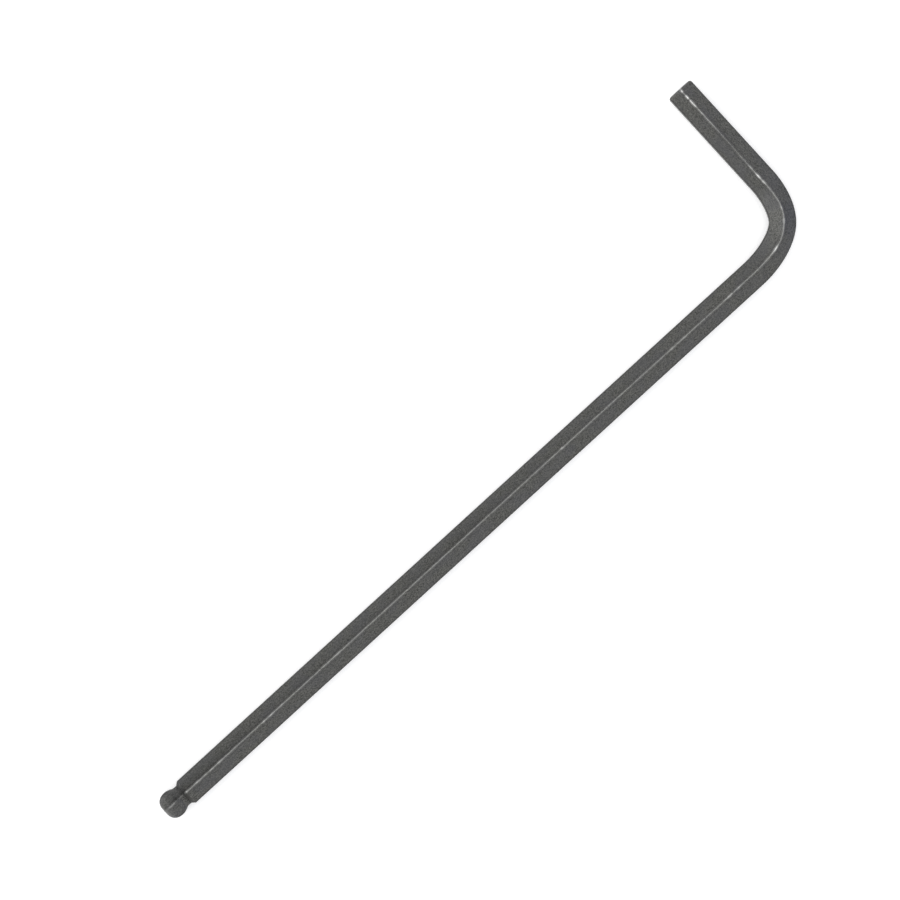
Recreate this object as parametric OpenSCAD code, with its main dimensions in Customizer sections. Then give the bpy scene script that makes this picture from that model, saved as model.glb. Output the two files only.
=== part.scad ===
// L-shaped hex key with a ball end on its long arm.
// It lies on its lower ridges, the long arm along X and the short arm towards +Y.
// The origin is on the floor, below the middle of the key's bounding box.

/* [Bar] */
// Width across the flats of the hexagonal bar
across_flats = 4.76; // [4.5:0.01:5.5]
// Radius of the bar's rounded corners
corner_r = 0.3; // [0.1:0.05:0.8]

/* [Arms] */
// Long arm, from the ball's tip to the outer face of the short arm
long_arm = 146; // [100:1:220]
// Short arm, from its end to the outer face of the long arm
short_arm = 33.3; // [28:0.1:60]
// Chamfer round the end of the short arm
end_chamfer = 0.3; // [0.1:0.05:0.8]

/* [Bend] */
// Radius of the bar's axis in the middle of the bend, where it is tightest
bend_r = 5.1; // [4:0.1:10]
// Radius of the bar's axis where the bend runs into the long arm
long_run_r = 19.7; // [12:0.1:24]
// Radius of the bar's axis where the bend runs into the short arm
short_run_r = 16.3; // [12:0.1:24]
// Share of its width that the bar loses in the middle of the bend
bend_squeeze = 0.05; // [0:0.002:0.1]
// How far the upper and lower ridges drift outwards in the middle of the bend
ridge_drift = 0.25; // [0:0.05:0.6]

/* [Ball end] */
// How far the crown of each ball face lies inside the bar's flat
ball_inset = 0.01; // [0.005:0.005:0.1]
// Radius of the crowned ball faces, along the arm
ball_r = 2.53; // [2.4:0.01:2.8]
// Distance from the flat tip to the crown of the ball
ball_centre = 1.94; // [1.5:0.01:2.1]
// Radius that rounds the front of the ball into the flat tip
tip_r = 1.7; // [1:0.05:1.8]
// Depth of the neck below the bar's flats
neck_depth = 0.49; // [0.3:0.01:0.7]
// Radius of the fillet that runs from the ball down into the neck
neck_fillet = 1.3; // [0.6:0.05:1.6]
// Distance from the flat tip to the foot of the shoulder behind the neck
neck_end = 4.27; // [4:0.01:5]
// Slope of the shoulder to the arm, in degrees
shoulder_slope = 39; // [25:1:60]

/* [Smoothness] */
// Flat strips on each rounded corner of the bar
corner_steps = 4; // [2:2:6]
// Rings of the bend between the two arms
bend_steps = 30; // [12:6:48]

/* [Hidden] */
$fn = 96;

steel = [0.34, 0.34, 0.33];
flat_h = across_flats / 2;
corner_h = flat_h / cos(30);
ridge_h = corner_h + corner_r - corner_r / cos(30);

// Cross-section of the bar, with flats left and right and a ridge at the top and the bottom
corner_centre = (flat_h - corner_r) / cos(30);
bar_section = [
    for (corner = [30:60:330]) for (step = [0:corner_steps])
        let (turn = corner - 30 + 60 * step / corner_steps)
        corner_centre * [cos(corner), sin(corner)] + corner_r * [cos(turn), sin(turn)]
];
corners = len(bar_section);

// The axis of the bend turns from +X to +Y round the point where the arms' axes cross.
// Its radius eases from long_run_r to bend_r and on to short_run_r, as
// mean_r + swing_r * cos(4 * turn) + lean_r * cos(2 * turn), and bend_run sums its steps along one arm.
// The reaches are how far the bend takes up each arm, from where the axes cross.
run_r = (long_run_r + short_run_r) / 2;
mean_r = (run_r + bend_r) / 2;
swing_r = (run_r - bend_r) / 2;
lean_r = (long_run_r - short_run_r) / 2;
function bend_run(turn, lean) =
    mean_r * sin(turn) + swing_r * (sin(5 * turn) / 10 + sin(3 * turn) / 6)
    + lean * (sin(3 * turn) / 6 + sin(turn) / 2);
long_reach = bend_run(90, lean_r);
short_reach = bend_run(90, -lean_r);
function bend_axis(turn) = [bend_run(turn, lean_r) - long_reach, short_reach - bend_run(90 - turn, -lean_r)];

// How much of the squeeze and of the drift is there: none at the arms, all in the middle
function strain(turn) = pow(sin(2 * turn), 2);

// A section point in the bend: squeezed, and pushed outwards the nearer it is to a ridge
function bent_point(point, turn) =
    let (
        near_ridge = max(0, 2 * abs(point[1]) / corner_h - 1),
        squeezed = point[0] * (1 - bend_squeeze * strain(turn)),
        outward = squeezed + ridge_drift * near_ridge * strain(turn),
        axis = bend_axis(turn)
    )
    [axis[0] + outward * sin(turn), axis[1] - outward * cos(turn), point[1]];

// Ball faces: their arcs are centred below the axis, so that the crown sits just inside the flat
arc_y = flat_h - ball_inset - ball_r;

// Tip: its arc touches the flat tip face at tip_y, and the ball's arc at the rim
tip_y = arc_y + sqrt(pow(ball_r, 2) - pow(ball_centre, 2) - 2 * tip_r * (ball_r - ball_centre));
rim = ball_r / (ball_r - tip_r);
rim_x = ball_centre + rim * (tip_r - ball_centre);

// Neck, and the fillet that touches both the ball's arc and the neck
neck_h = flat_h - neck_depth;
fillet_y = neck_h + neck_fillet;
fillet_x = ball_centre + sqrt(pow(ball_r + neck_fillet, 2) - pow(fillet_y - arc_y, 2));
touch = ball_r / (ball_r + neck_fillet);
touch_x = ball_centre + touch * (fillet_x - ball_centre);
touch_y = arc_y + touch * (fillet_y - arc_y);

// The end outlines spread past the bar, so that the bar alone sets its flats and ridges
spread = across_flats;

// Upper half of the ball end's side outline, with its tip at the origin
module ball_end_half() {
    difference() {
        union() {
            square([tip_r, tip_y]);
            intersection() {
                translate([tip_r, tip_y]) circle(r = tip_r);
                square([rim_x, spread]);
            }
            intersection() {
                translate([ball_centre, arc_y]) circle(r = ball_r);
                translate([rim_x, 0]) square([fillet_x - rim_x, spread]);
            }
            polygon([
                [ball_centre, 0],
                [touch_x, touch_y],
                [fillet_x, neck_h],
                [neck_end, neck_h],
                [neck_end + (spread - neck_h) / tan(shoulder_slope), spread],
                [long_arm, spread],
                [long_arm, 0]
            ]);
        }
        translate([fillet_x, fillet_y]) circle(r = neck_fillet);
    }
}

module ball_end_outline() {
    ball_end_half();
    mirror([0, 1]) ball_end_half();
}

// Side outline of the square end with its chamfer, with the end face at the origin
module square_end_outline() {
    end_h = flat_h - end_chamfer;
    polygon([
        [0, end_h],
        [spread - end_h, spread],
        [short_arm, spread],
        [short_arm, -spread],
        [spread - end_h, -spread],
        [0, -end_h]
    ]);
}

// Arm that leaves the bend towards -X, whose end has one side outline on all six faces
module arm(length, reach) {
    intersection() {
        translate([-reach, 0, 0]) rotate([90, 0, -90]) {
            linear_extrude(height = length) polygon(bar_section);
        }
        translate([flat_h - length, 0, 0]) intersection_for(turn = [0, 60, 120]) {
            rotate([turn, 0, 0]) linear_extrude(height = 3 * spread, center = true) children();
        }
    }
}

// Quarter turn of the bar, lofted through rings of the section
module bend() {
    points = [
        for (ring = [0:bend_steps]) for (point = bar_section) bent_point(point, 90 * ring / bend_steps)
    ];
    sides = [
        for (ring = [0:bend_steps - 1]) for (corner = [0:corners - 1])
            let (next = (corner + 1) % corners, here = ring * corners, there = here + corners)
            [here + corner, here + next, there + next, there + corner]
    ];
    first_end = [for (corner = [corners - 1:-1:0]) corner];
    last_end = [for (corner = [0:corners - 1]) bend_steps * corners + corner];
    polyhedron(points = points, faces = concat([first_end], sides, [last_end]));
}

module hex_key() {
    color(steel) translate([long_arm / 2 - flat_h, flat_h - short_arm / 2, ridge_h]) {
        arm(long_arm, long_reach) ball_end_outline();
        bend();
        rotate(-90) arm(short_arm, short_reach) square_end_outline();
    }
}

hex_key();
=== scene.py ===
"""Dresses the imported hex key: a finer mesh with rounded ridges, blackened steel, floor, light and camera."""
import math
from typing import NamedTuple

import bpy
import numpy as np
from mathutils import Matrix, Vector


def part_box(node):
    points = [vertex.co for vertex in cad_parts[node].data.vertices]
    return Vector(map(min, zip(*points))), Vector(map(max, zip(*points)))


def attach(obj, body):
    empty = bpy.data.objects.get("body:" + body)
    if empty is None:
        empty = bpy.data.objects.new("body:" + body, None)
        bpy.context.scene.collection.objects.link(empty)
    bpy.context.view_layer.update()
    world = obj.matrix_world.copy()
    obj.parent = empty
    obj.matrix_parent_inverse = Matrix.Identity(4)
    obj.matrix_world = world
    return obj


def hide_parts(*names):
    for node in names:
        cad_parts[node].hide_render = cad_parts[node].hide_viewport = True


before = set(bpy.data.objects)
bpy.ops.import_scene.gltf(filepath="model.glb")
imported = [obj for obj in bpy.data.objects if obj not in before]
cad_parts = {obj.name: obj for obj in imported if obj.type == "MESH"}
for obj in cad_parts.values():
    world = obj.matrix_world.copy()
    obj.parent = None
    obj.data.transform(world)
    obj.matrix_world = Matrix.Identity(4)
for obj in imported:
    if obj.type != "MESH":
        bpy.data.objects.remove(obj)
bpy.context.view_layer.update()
MM = 0.001
key_low, key_high = (Vector(corner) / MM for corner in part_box("hex_key"))

# Sizes of the key in millimetres. The arms and the height of the ridges come from the frame.
RIDGE_H = (key_high.z - key_low.z) / 2
FLAT_H = 2.38
COS30 = math.cos(math.radians(30))
BEND_R = 5.1
LONG_RUN_R = 19.7
SHORT_RUN_R = 16.3
BEND_SQUEEZE = 0.05
RIDGE_DRIFT = 0.25
BALL_INSET = 0.01
BALL_R = 2.53
BALL_CENTRE = 1.94
TIP_R = 1.7
NECK_DEPTH = 0.49
NECK_FILLET = 1.3
NECK_END = 4.27
SHOULDER_SLOPE = math.radians(39)

# Height of the centre of the ball faces' arcs, and the half widths of the flat tip and the neck
BALL_LOW = FLAT_H - BALL_INSET - BALL_R
TIP_HALF = BALL_LOW + math.sqrt(BALL_R**2 - BALL_CENTRE**2 - 2 * TIP_R * (BALL_R - BALL_CENTRE))
NECK_H = FLAT_H - NECK_DEPTH

# The bend's radius eases as mean + swing * cos(4 * turn) + lean * cos(2 * turn)
MEAN_R = (LONG_RUN_R + SHORT_RUN_R + 2 * BEND_R) / 4
SWING_R = (LONG_RUN_R + SHORT_RUN_R - 2 * BEND_R) / 4
LEAN_R = (LONG_RUN_R - SHORT_RUN_R) / 2
QUARTER = math.pi / 2

# Small rounds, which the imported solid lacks, and how far the short arm's end face stands out in its middle
MACHINED_R = 0.2
FOOT_R = 0.08
SHOULDER_RIM_R = 0.25
END_RIM_R = 0.46
END_CROWN = 0.03

# Fineness of the mesh: steps of each round, shares of a flat's or an end face's width, and rings of the bar
TIP_STEPS = 16
BALL_STEPS = 24
FILLET_STEPS = 8
FOOT_STEPS = 3
SHOULDER_RIM_STEPS = 6
END_RIM_STEPS = 8
CORNER_STEPS = 6
END_FACE_SHARES = (0.3, 0.55, 0.8, 0.93, 0.99)
FLAT_SHARES = (0.015, 0.05, 0.09, 0.13, 0.17, 0.33, 0.5, 0.67, 0.83, 0.87, 0.91, 0.95, 0.985)
LONG_RING_GAP = 0.3
SHORT_RING_GAP = 0.15
BEND_RINGS = 84

# How far the upper ridge is rubbed bright and carries a painted highlight, as (millimetres along the bar from
# the tip, share)
RUBBED_AND_HIGHLIGHT = (
    (0.0, 0.1), (0.9, 0.12), (1.2, 0.22), (2.1, 0.18), (2.7, 0.0), (4.4, 0.0), (4.7, 0.15), (17.0, 0.1),
    (132.0, 0.08), (137.0, 0.18), (139.0, 0.12), (148.0, 0.13), (153.0, 0.08), (157.5, 0.0), (160.5, 0.0),
    (162.5, 0.15), (166.2, 0.14), (166.5, 0.45), (167.8, 0.6), (167.95, 0.0), (168.1, 0.0), (168.25, 0.7),
    (168.85, 0.65), (169.0, 0.05), (169.6, 0.1), (169.75, 0.8), (170.2, 0.8),
)
# Brighter spots on it, rubbed bare and painted as glints, as (millimetres along the bar from the tip,
# half-length, share)
SPOTS = (
    (4.9, 0.25, 0.15), (7.5, 0.4, 0.2), (10.6, 0.25, 0.15), (12.4, 0.35, 0.25), (22.3, 0.3, 0.2),
    (23.9, 0.4, 0.25), (26.3, 0.4, 0.15), (38.8, 0.9, 0.1), (89.2, 0.3, 0.2), (113.6, 0.5, 0.15),
    (116.4, 0.4, 0.15), (126.6, 0.6, 0.3), (128.6, 0.4, 0.25), (137.5, 0.6, 0.5), (142.3, 0.3, 0.2),
    (144.6, 0.3, 0.15), (149.6, 0.4, 0.55), (151.0, 0.5, 0.7), (152.8, 0.3, 0.2), (164.9, 0.3, 0.1),
)
# Rubbing on the other five ridges
RUBBED_ELSEWHERE = 0.03
# The rubbing and its painted highlight fade round a ridge with the fourth power of the turn from its middle,
# over this many degrees
RIDGE_FADE = 40
# Both go on into the flat, which widens the painted highlight, from this share at the flat's edge, and fall so
# much for each width of the flat
FLAT_RUB_AND_HIGHLIGHT = 0.65
FLAT_RUB_AND_HIGHLIGHT_FALL = 7
# Painted sheen that makes the inner side of the bend paler, as (millimetres along the bar from the tip, share)
INNER_PAINTED_SHEEN = (
    (134.5, 0.0), (137.0, 0.025), (140.0, 0.02), (141.5, 0.0), (143.0, 0.0), (147.0, 0.055), (149.0, 0.0),
)
# How far the upper ridge wanders outwards, as (millimetres along the bar from the tip, millimetres)
RIDGE_SWAY = (
    (0.0, 0.08), (1.6, 0.08), (2.5, 0.0), (15.0, 0.0), (90.0, -0.1), (98.0, -0.1), (110.0, -0.03),
    (125.0, 0.0), (132.0, -0.07), (134.0, -0.05), (138.5, 0.16), (140.0, 0.14), (141.7, -0.07),
    (145.0, 0.17), (150.0, -0.15), (161.0, 0.03), (168.0, 0.0),
)
# Dents on the upper ridge, as (millimetres along the bar from the tip, half-length, depth)
DENTS = ((89.3, 0.35, 0.05), (167.3, 0.3, 0.04), (168.4, 0.25, 0.04))
DENT_HALF_WIDTH = 0.3
# Painted shade at the foot of the shoulder, and painted shade that darkens the long arm's inner side, as
# (millimetres along the bar from the tip, share)
FOOT_PAINTED_SHADE = ((0.0, 0.0), (4.0, 0.0), (4.35, 0.65), (4.7, 0.7), (4.9, 0.0))
INNER_PAINTED_SHADE = (
    (0.0, 0.18), (2.3, 0.18), (2.8, 0.35), (3.3, 0.2), (3.7, 0.2), (4.2, 0.4), (4.9, 0.4), (5.3, 0.25),
    (10.0, 0.25), (20.0, 0.16), (50.0, 0.11), (70.0, 0.17), (85.0, 0.08), (120.0, 0.02),
)
# Where the inner side begins, in millimetres outwards from the middle
INNER_FROM = -0.1
# Darker lines on both sides of the upper ridge, as (millimetres from it, half-width, share)
DARK_BESIDE_RIDGE = ((0.36, 0.09, 0.15),)
# Painted shade along the ridges at the sides, from this share of the half width outwards
EDGE_PAINTED_SHADE = 0.4
EDGE_FROM = 0.9

# Colours of the steel, of its painted highlight and of its painted shade
DARK_OXIDE = (0.022, 0.022, 0.021)
PALE_OXIDE = (0.206, 0.206, 0.194)
BLOTCHED_OXIDE = (0.11, 0.111, 0.125)
STREAKED_OXIDE = (0.09, 0.09, 0.087)
# Painted shade darkens the oxide towards this
BLACK = (0.01, 0.01, 0.01)
# Bare steel of the rubbed ridges, also the colour of their painted highlight
BARE_STEEL_AND_HIGHLIGHT = (0.5, 0.5, 0.49)
# How much of the mottled oxide the blotches and the streaks cover
BLOTCH_SHARE = 0.35
STREAK_SHARE = 0.25
# The least and the most by which the rub and glint marks multiply the wear and painted highlight
RUB_AND_GLINT_MARKS = (0.3, 1.7)
# Roughness of the oxide at its two extremes, and how much smoother bare steel is
OXIDE_ROUGHNESS = (0.36, 0.44)
BARE_SMOOTHER = 0.12
# Relief of the oxide, with its depth in millimetres, and the weight of the streaks in it
RELIEF = 0.25
RELIEF_DEPTH = 0.02
STREAK_RELIEF = 0.8

# Floor, with its side in metres, and the glow that lifts it to white where the camera or a mirror sees it
FLOOR_SIDE = 6.0
FLOOR_COLOUR = (0.85, 0.85, 0.85, 1.0)
FLOOR_LIFT = 0.35
WORLD_STRENGTH = 0.9
# The room has a lighter wall, which the inside of the bend faces, and a darker, bluish one behind the bend.
# Each is a colour and a direction on the floor, turned in radians from -Y towards +X as the bend turns.
LIGHT_WALL = ((2.15, 2.15, 2.18), math.radians(230))
DARK_WALL = ((0.52, 0.55, 0.8), math.radians(57))
WALL_HEIGHT = math.radians(30)
# Cosine of the angle from a wall's middle at which it has faded into the white room
WALL_EDGE = 0.9
# Lamp over the key, in metres and watts
LAMP_PLACE = (0.0, 0.0, 1.2)
LAMP_SIDE = 0.9
LAMP_POWER = 4.7

# The photograph's side, and where it shows the ball's tip and the crossing of the arms' axes
PHOTO_SIDE = 900
TIP_PX = Vector((164.9, 811.5))
CROSSING_PX = Vector((804.9, 227.1))
CAMERA_HEIGHT = 1.5
SENSOR_WIDTH = 36.0


class Station(NamedTuple):
    """One section of the bar, in millimetres and radians.

    It has its place, its heading from +X towards +Y, half its width across the flats, and its distance
    along the bar from the tip.
    """

    x: float
    y: float
    turn: float
    half: float
    along: float


# Outlines of the two ends


def arc(centre, radius, start, end, steps):
    """Points of an arc between two angles."""
    return [
        (centre[0] + radius * math.cos(angle), centre[1] + radius * math.sin(angle))
        for angle in np.linspace(start, end, steps + 1)
    ]


def rounded(before, corner, after, radius, steps):
    """Points that round off the corner between two straight lines."""
    corner = Vector(corner)
    back = (Vector(before) - corner).normalized()
    ahead = (Vector(after) - corner).normalized()
    half = back.angle(ahead) / 2
    centre = corner + (back + ahead).normalized() * radius / math.sin(half)
    start = corner + back * radius / math.tan(half) - centre
    end = corner + ahead * radius / math.tan(half) - centre
    shares = np.linspace(0, 1, steps + 1)
    return [tuple(centre + start.lerp(end, share).normalized() * radius) for share in shares]


def end_face(rim, crown):
    """Points from the middle of an end face out to its rim."""
    return [(crown * share**2, rim * share) for share in END_FACE_SHARES]


def ball_end_outline():
    """Distances from the tip, each with half the width across the flats there."""
    fillet = (
        BALL_CENTRE + math.sqrt((BALL_R + NECK_FILLET) ** 2 - (NECK_H + NECK_FILLET - BALL_LOW) ** 2),
        NECK_H + NECK_FILLET,
    )
    rim = math.atan2(TIP_HALF - BALL_LOW, TIP_R - BALL_CENTRE)
    lean = math.atan2(fillet[1] - BALL_LOW, fillet[0] - BALL_CENTRE)
    shoulder = (NECK_END + (FLAT_H - NECK_H) / math.tan(SHOULDER_SLOPE), FLAT_H)
    return [
        *end_face(TIP_HALF, 0.0),
        *arc((TIP_R, TIP_HALF), TIP_R, math.pi, rim, TIP_STEPS),
        *arc((BALL_CENTRE, BALL_LOW), BALL_R, rim, lean, BALL_STEPS)[1:],
        *arc(fillet, NECK_FILLET, lean + math.pi, 1.5 * math.pi, FILLET_STEPS)[1:],
        *rounded((fillet[0], NECK_H), (NECK_END, NECK_H), shoulder, FOOT_R, FOOT_STEPS),
        *rounded((NECK_END, NECK_H), shoulder, (shoulder[0] + 1, FLAT_H), SHOULDER_RIM_R, SHOULDER_RIM_STEPS),
    ]


def square_end_outline():
    """The same for the short arm, with distances from its end."""
    end_rim = rounded((END_CROWN, 0), (END_CROWN, FLAT_H), (1, FLAT_H), END_RIM_R, END_RIM_STEPS)
    return [*end_face(end_rim[0][1], END_CROWN), *end_rim]


# Stations along the bar


def straight_gaps(length, widest):
    """Even distances along a straight stretch, without its two ends."""
    count = math.ceil(length / widest)
    return [length * step / count for step in range(1, count)]


def bend_run(turn, lean):
    """How far the bend's axis has gone along the arm that it leaves, at a turn away from that arm."""
    swing = SWING_R * (math.sin(5 * turn) / 10 + math.sin(3 * turn) / 6)
    return MEAN_R * math.sin(turn) + swing + lean * (math.sin(3 * turn) / 6 + math.sin(turn) / 2)


def bend_along(turn):
    """Length of the bend's axis from the long arm to a turn."""
    return MEAN_R * turn + SWING_R / 4 * math.sin(4 * turn) + LEAN_R / 2 * math.sin(2 * turn)


def stations():
    """Every section of the bar, from the middle of the ball's tip to the middle of the square end."""
    crossing_x = key_high.x - FLAT_H
    crossing_y = key_low.y + FLAT_H
    bend_x = crossing_x - bend_run(QUARTER, LEAN_R)
    bend_y = crossing_y + bend_run(QUARTER, -LEAN_R)
    bend_start = bend_x - key_low.x
    whole = bend_start + bend_along(QUARTER) + key_high.y - bend_y

    ball_end = ball_end_outline()
    for x, half in ball_end:
        yield Station(key_low.x + x, crossing_y, 0.0, half, x)
    bar_start = ball_end[-1][0]
    for gap in straight_gaps(bend_start - bar_start, LONG_RING_GAP):
        yield Station(key_low.x + bar_start + gap, crossing_y, 0.0, FLAT_H, bar_start + gap)
    for turn in np.linspace(0, QUARTER, BEND_RINGS + 1):
        x = bend_x + bend_run(turn, LEAN_R)
        y = bend_y - bend_run(QUARTER - turn, -LEAN_R)
        yield Station(x, y, turn, FLAT_H, bend_start + bend_along(turn))
    square_end = square_end_outline()
    bar_end = square_end[-1][0]
    for gap in reversed(straight_gaps(key_high.y - bend_y - bar_end, SHORT_RING_GAP)):
        yield Station(crossing_x, key_high.y - bar_end - gap, QUARTER, FLAT_H, whole - bar_end - gap)
    for y, half in reversed(square_end):
        yield Station(crossing_x, key_high.y - y, QUARTER, half, whole - y)


# Sections round the bar


def section(half):
    """Points round a rounded hexagon with ridges at its top and bottom, and the share of wear and painted
    highlight at each.
    """
    # Machined corners are nearly sharp, but none stands out past the bar's own ridges. On the small end
    # faces they shrink with the section.
    sharpest = min(MACHINED_R, half / 4)
    corner_r = max(sharpest, (half / COS30 - RIDGE_H) / (1 / COS30 - 1))
    corner_centre = (half - corner_r) / COS30
    points, ridge = [], []
    for corner in range(30, 390, 60):
        middle = corner_centre * heading(corner)
        for turn in np.linspace(-30, 30, CORNER_STEPS + 1):
            points.append(middle + corner_r * heading(corner + turn))
            ridge.append(1 - (turn / RIDGE_FADE) ** 4)
        outward = corner_r * heading(corner + 30)
        start, end = middle + outward, corner_centre * heading(corner + 60) + outward
        for share in FLAT_SHARES:
            points.append(start + share * (end - start))
            ridge.append(max(0.0, FLAT_RUB_AND_HIGHLIGHT - FLAT_RUB_AND_HIGHLIGHT_FALL * min(share, 1 - share)))
    return np.array(points), np.array(ridge)


def heading(degrees):
    """Unit vector at an angle."""
    return np.array([math.cos(math.radians(degrees)), math.sin(math.radians(degrees))])


def share_at(along, table):
    """Value at a distance along the bar, between the two nearest entries of a table."""
    return np.interp(along, *zip(*table, strict=True))


def bump_at(along, bumps):
    """Sum of soft bumps, each with its middle, half-length and height."""
    return sum(height * math.exp(-(((along - middle) / length) ** 2)) for middle, length, height in bumps)


def ring_of(station):
    """Places, wear and painted highlight, painted shade and dark lines, and the bar's own coordinates of the
    points of one ring.
    """
    points, ridge = section(station.half)
    strain = math.sin(2 * station.turn) ** 2
    rubbed_and_highlight = share_at(station.along, RUBBED_AND_HIGHLIGHT) + bump_at(station.along, SPOTS)
    sway = share_at(station.along, RIDGE_SWAY)
    dent = bump_at(station.along, DENTS)
    places, wear_and_highlight, painted_shade_and_dark_lines, local = [], [], [], []
    for (across, up), near in zip(points, ridge, strict=True):
        # About 1 on the upper and lower ridges, and 0 from halfway between them and the middle
        near_ridge = max(0.0, 2 * abs(up) * COS30 / FLAT_H - 1)
        outward = across * (1 - BEND_SQUEEZE * strain) + RIDGE_DRIFT * near_ridge * strain
        height = up
        if up > 0:
            outward += sway * near_ridge
            height -= dent * near_ridge * math.exp(-((across / DENT_HALF_WIDTH) ** 2))
        places.append(
            (
                station.x + outward * math.sin(station.turn),
                station.y - outward * math.cos(station.turn),
                key_low.z + RIDGE_H + height,
            )
        )
        # Painted sheen on the inner side of the bend
        inner_sheen = share_at(station.along, INNER_PAINTED_SHEEN) if across < 0 else 0.0
        # The tables of rubbing and painted highlight are for the upper ridge alone
        on_ridge = rubbed_and_highlight if near_ridge > 0.5 and up > 0 else RUBBED_ELSEWHERE
        wear_and_highlight.append(max(near * on_ridge, inner_sheen))
        # The painted shade on the inner side is darkest beside the ridges and fades out towards the side
        inner = 2 * (1 + across / FLAT_H) if across < INNER_FROM else 0.0
        # Painted shade along the side ridges
        at_edge = EDGE_PAINTED_SHADE if abs(across) > EDGE_FROM * FLAT_H else 0.0
        beside = bump_at(abs(across), DARK_BESIDE_RIDGE) if up > 0 else 0.0
        # Painted shade at the foot of the shoulder, on the inner side and along the side ridges
        painted_shade_share = max(share_at(station.along, FOOT_PAINTED_SHADE), share_at(station.along, INNER_PAINTED_SHADE) * inner, at_edge)
        painted_shade_and_dark_lines.append(painted_shade_share + beside)
        local.append((station.along, across, up))
    return places, wear_and_highlight, painted_shade_and_dark_lines, local


def key_mesh():
    """Closed skin through all rings, facing outwards, with a fan of triangles on each end face."""
    places, wear_and_highlight, painted_shade_and_dark_lines, local = [], [], [], []
    rings = list(stations())
    for station in rings:
        for whole, part in zip((places, wear_and_highlight, painted_shade_and_dark_lines, local), ring_of(station), strict=True):
            whole.extend(part)
    # Points of a ring, and the first point of the last ring
    size = len(places) // len(rings)
    last = len(places) - size
    for start in (0, last):
        for whole in (places, wear_and_highlight, painted_shade_and_dark_lines, local):
            whole.append(np.mean(whole[start : start + size], axis=0))
    tip, square = len(places) - 2, len(places) - 1
    faces = []
    for spot in range(size):
        after = (spot + 1) % size
        for here in range(0, last, size):
            there = here + size
            faces.append((here + spot, there + spot, there + after, here + after))
        faces.append((tip, spot, after))
        faces.append((square, last + after, last + spot))
    mesh = bpy.data.meshes.new("hex_key_fine")
    mesh.from_pydata([Vector(place) * MM for place in places], [], faces)
    mesh.validate()
    mesh.attributes.new("wear_and_highlight", "FLOAT", "POINT").data.foreach_set("value", wear_and_highlight)
    mesh.attributes.new("painted_shade_and_dark_lines", "FLOAT", "POINT").data.foreach_set("value", painted_shade_and_dark_lines)
    mesh.attributes.new("grain", "FLOAT_VECTOR", "POINT").data.foreach_set("vector", np.array(local).ravel())
    mesh.shade_smooth()
    return mesh


# Materials


def new_material(name):
    """Material with an output node alone, and its nodes and links."""
    material = bpy.data.materials.new(name)
    material.use_nodes = True
    nodes, links = material.node_tree.nodes, material.node_tree.links
    nodes.clear()
    output = nodes.new("ShaderNodeOutputMaterial")
    return material, nodes, links, output


def attribute(nodes, name):
    """Node that reads one of the mesh's attributes."""
    node = nodes.new("ShaderNodeAttribute")
    node.attribute_name = name
    return node


def noise(nodes, links, vector, stretch, scale, detail=3.0, roughness=0.55):
    """Noise in the bar's own coordinates, with its size along the bar stretched."""
    mapping = nodes.new("ShaderNodeMapping")
    mapping.inputs["Scale"].default_value = (scale / stretch, scale, scale)
    links.new(vector, mapping.inputs["Vector"])
    node = nodes.new("ShaderNodeTexNoise")
    node.inputs["Scale"].default_value = 1.0
    node.inputs["Detail"].default_value = detail
    node.inputs["Roughness"].default_value = roughness
    links.new(mapping.outputs["Vector"], node.inputs["Vector"])
    return node.outputs["Fac"]


def remap(nodes, links, value, low, high, to_low=0, to_high=1):
    """Value moved from one range to another and kept inside it."""
    node = nodes.new("ShaderNodeMapRange")
    limits = {"From Min": low, "From Max": high, "To Min": to_low, "To Max": to_high}
    for name, number in limits.items():
        node.inputs[name].default_value = number
    links.new(value, node.inputs["Value"])
    return node.outputs["Result"]


def arithmetic(nodes, links, operation, first, second):
    """Sum, difference or the like of two values, each a number or a socket."""
    node = nodes.new("ShaderNodeMath")
    node.operation = operation
    for socket, value in zip(node.inputs, (first, second), strict=False):
        if isinstance(value, (int, float)):
            socket.default_value = value
        else:
            links.new(value, socket)
    return node.outputs["Value"]


def mixed_colour(nodes, links, share, first, second):
    """Mix of two colours, each a tuple or a socket, with the given share of the second."""
    node = nodes.new("ShaderNodeMix")
    node.data_type = "RGBA"
    links.new(share, node.inputs["Factor"])
    for name, colour in (("A", first), ("B", second)):
        socket = next(each for each in node.inputs if each.name == name and each.type == "RGBA")
        if isinstance(colour, tuple):
            socket.default_value = (*colour, 1.0)
        else:
            links.new(colour, socket)
    return next(each for each in node.outputs if each.type == "RGBA")


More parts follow.
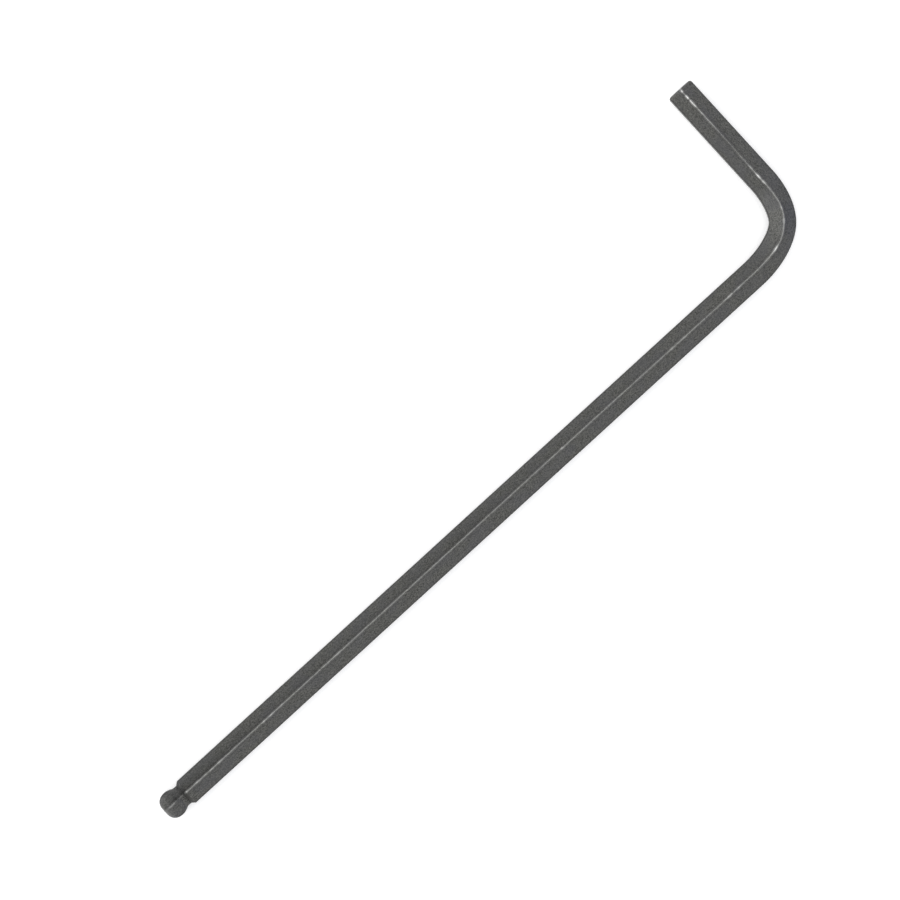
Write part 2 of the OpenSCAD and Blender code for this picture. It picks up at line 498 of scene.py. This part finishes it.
def blackened_steel():
    """Black oxide on drawn steel: satin dark grey, finely mottled, rubbed bare with a painted highlight along
    the ridges, with painted shade.
    """
    material, nodes, links, output = new_material("blackened_steel")
    grain = attribute(nodes, "grain").outputs["Vector"]
    wear_and_highlight = attribute(nodes, "wear_and_highlight").outputs["Fac"]
    painted_shade_and_dark_lines = attribute(nodes, "painted_shade_and_dark_lines").outputs["Fac"]
    blotches = noise(nodes, links, grain, stretch=1.5, scale=0.4, detail=2.0)
    mottle = noise(nodes, links, grain, stretch=1.5, scale=5.5, roughness=0.75)
    streaks = noise(nodes, links, grain, stretch=30.0, scale=6.0)
    rub_and_glint_marks = noise(nodes, links, grain, stretch=2.0, scale=2.2, detail=4.0, roughness=0.65)

    mottled = remap(nodes, links, mottle, 0.3, 0.7)
    oxide = mixed_colour(nodes, links, mottled, DARK_OXIDE, PALE_OXIDE)
    blotched = remap(nodes, links, blotches, 0.4, 0.65, to_high=BLOTCH_SHARE)
    oxide = mixed_colour(nodes, links, blotched, oxide, BLOTCHED_OXIDE)
    streaked = remap(nodes, links, streaks, 0.35, 0.65, to_high=STREAK_SHARE)
    oxide = mixed_colour(nodes, links, streaked, oxide, STREAKED_OXIDE)
    # Painted shade, and the dark lines beside the upper ridge
    oxide = mixed_colour(nodes, links, painted_shade_and_dark_lines, oxide, BLACK)
    # Rubbed bare steel with its painted highlight
    rubbed_and_highlight = arithmetic(nodes, links, "MULTIPLY", wear_and_highlight, remap(nodes, links, rub_and_glint_marks, 0.3, 0.7, *RUB_AND_GLINT_MARKS))
    colour = mixed_colour(nodes, links, rubbed_and_highlight, oxide, BARE_STEEL_AND_HIGHLIGHT)
    roughness = arithmetic(
        nodes, links, "SUBTRACT", remap(nodes, links, streaks, 0.3, 0.7, *OXIDE_ROUGHNESS),
        arithmetic(nodes, links, "MULTIPLY", rubbed_and_highlight, BARE_SMOOTHER),
    )
    streak_relief = arithmetic(nodes, links, "MULTIPLY", streaks, STREAK_RELIEF)
    relief = arithmetic(nodes, links, "ADD", mottle, streak_relief)
    bump = nodes.new("ShaderNodeBump")
    bump.inputs["Strength"].default_value = RELIEF
    bump.inputs["Distance"].default_value = RELIEF_DEPTH * MM
    links.new(relief, bump.inputs["Height"])

    shader = nodes.new("ShaderNodeBsdfPrincipled")
    shader.inputs["Metallic"].default_value = 1.0
    links.new(colour, shader.inputs["Base Color"])
    links.new(roughness, shader.inputs["Roughness"])
    links.new(bump.outputs["Normal"], shader.inputs["Normal"])
    links.new(shader.outputs["BSDF"], output.inputs["Surface"])
    return material


def pale_floor():
    """Pale matt floor that looks white, also mirrored in the key, with the key's soft shadow kept."""
    material, nodes, links, output = new_material("pale_floor")
    matt = nodes.new("ShaderNodeBsdfDiffuse")
    matt.inputs["Color"].default_value = FLOOR_COLOUR
    glow = nodes.new("ShaderNodeEmission")
    rays = nodes.new("ShaderNodeLightPath").outputs
    seen = arithmetic(nodes, links, "MAXIMUM", rays["Is Camera Ray"], rays["Is Glossy Ray"])
    seen = arithmetic(nodes, links, "MAXIMUM", seen, rays["Is Transmission Ray"])
    lift = arithmetic(nodes, links, "MULTIPLY", seen, FLOOR_LIFT)
    links.new(lift, glow.inputs["Strength"])
    both = nodes.new("ShaderNodeAddShader")
    links.new(matt.outputs["BSDF"], both.inputs[0])
    links.new(glow.outputs["Emission"], both.inputs[1])
    links.new(both.outputs["Shader"], output.inputs["Surface"])
    return material


# Floor, light and camera


def make_floor():
    """Large square at the height of the key's lowest point."""
    mesh = bpy.data.meshes.new("floor")
    half = FLOOR_SIDE / 2
    level = key_low.z * MM
    corners = [(-half, -half, level), (half, -half, level), (half, half, level), (-half, half, level)]
    mesh.from_pydata(corners, [], [(0, 1, 2, 3)])
    floor = bpy.data.objects.new("floor", mesh)
    bpy.context.collection.objects.link(floor)
    mesh.materials.append(pale_floor())


def soft_light(name, place, side, power):
    """Square lamp that faces the origin."""
    data = bpy.data.lights.new(name, "AREA")
    data.shape = "SQUARE"
    data.size = side
    data.energy = power
    light = bpy.data.objects.new(name, data)
    light.location = place
    light.rotation_mode = "QUATERNION"
    light.rotation_quaternion = (-Vector(place)).to_track_quat("-Z", "Y")
    bpy.context.collection.objects.link(light)


def make_world():
    """White room with a lighter and a darker wall, of which the camera sees plain white."""
    world = bpy.data.worlds.new("studio")
    world.use_nodes = True
    nodes, links = world.node_tree.nodes, world.node_tree.links
    sky = nodes["Background"]
    sky.inputs["Strength"].default_value = WORLD_STRENGTH
    direction = nodes.new("ShaderNodeTexCoord").outputs["Generated"]
    room = (1.0, 1.0, 1.0)
    for colour, turn in (LIGHT_WALL, DARK_WALL):
        level = math.cos(WALL_HEIGHT)
        wall = (level * math.sin(turn), -level * math.cos(turn), math.sin(WALL_HEIGHT))
        faced = nodes.new("ShaderNodeVectorMath")
        faced.operation = "DOT_PRODUCT"
        faced.inputs[1].default_value = wall
        links.new(direction, faced.inputs[0])
        share = remap(nodes, links, faced.outputs["Value"], WALL_EDGE, 1.0)
        room = mixed_colour(nodes, links, share, room, colour)
    seen = nodes.new("ShaderNodeLightPath").outputs["Is Camera Ray"]
    room = mixed_colour(nodes, links, seen, room, (1 / WORLD_STRENGTH,) * 3)
    links.new(room, sky.inputs["Color"])
    bpy.context.scene.world = world


def make_camera():
    """Looks straight down, rolled and moved so that the two landmarks fall on their pixels."""
    tip = Vector((key_low.x, key_low.y + FLAT_H)) * MM
    crossing = Vector((key_high.x - FLAT_H, key_low.y + FLAT_H)) * MM
    level = (key_low.z + RIDGE_H) * MM
    span = CROSSING_PX - TIP_PX
    metres_per_px = (crossing - tip).length / span.length
    roll = math.atan2(-span.y, span.x)
    right = Vector((math.cos(roll), -math.sin(roll)))
    up = Vector((math.sin(roll), math.cos(roll)))
    off_centre = CROSSING_PX - Vector((PHOTO_SIDE, PHOTO_SIDE)) / 2
    middle = crossing - metres_per_px * (right * off_centre.x - up * off_centre.y)
    data = bpy.data.cameras.new("camera")
    data.sensor_width = SENSOR_WIDTH
    data.lens = SENSOR_WIDTH * CAMERA_HEIGHT / (PHOTO_SIDE * metres_per_px)
    data.clip_start = CAMERA_HEIGHT / 10
    data.clip_end = CAMERA_HEIGHT * 10
    camera = bpy.data.objects.new("camera", data)
    place = Matrix.Translation((middle.x, middle.y, level + CAMERA_HEIGHT))
    camera.matrix_world = place @ Matrix.Rotation(-roll, 4, "Z")
    bpy.context.collection.objects.link(camera)
    bpy.context.scene.camera = camera


key = bpy.data.objects.new("hex_key_fine", key_mesh())
bpy.context.collection.objects.link(key)
key.data.materials.append(blackened_steel())
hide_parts("hex_key")
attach(key, "root")

make_floor()
make_world()
soft_light("overhead", LAMP_PLACE, LAMP_SIDE, LAMP_POWER)
make_camera()
bpy.context.scene.view_settings.view_transform = "Standard"
